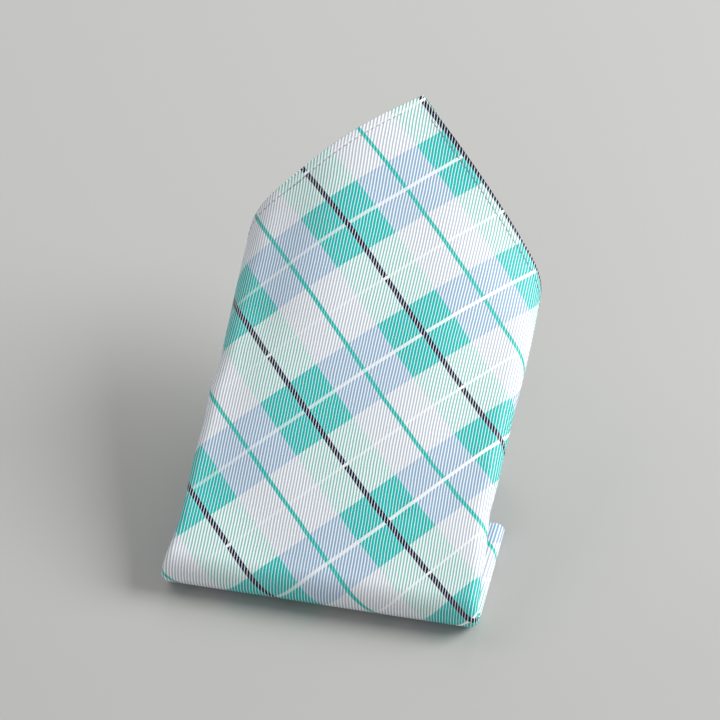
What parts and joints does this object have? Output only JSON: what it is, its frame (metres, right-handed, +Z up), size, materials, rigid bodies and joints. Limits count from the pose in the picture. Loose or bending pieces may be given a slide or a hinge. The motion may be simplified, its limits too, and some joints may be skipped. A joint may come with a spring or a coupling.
{
  "type": "pocket square",
  "caption": "Hemmed woven cloth square folded to a single point, standing on its folded-back lower edge and leaning back.",
  "frame": {"origin": "On the surface it stands on, under the middle of the folded cloth", "axes": "+Z up, -Y towards the front of the fold, +X to the right seen from the front"},
  "size_m": [0.1062, 0.157, 0.0996],
  "materials": {
    "cloth": "satin"
  },
  "bodies": {
    "root": {"folded_square": "cloth"}
  },
  "joints": []
}
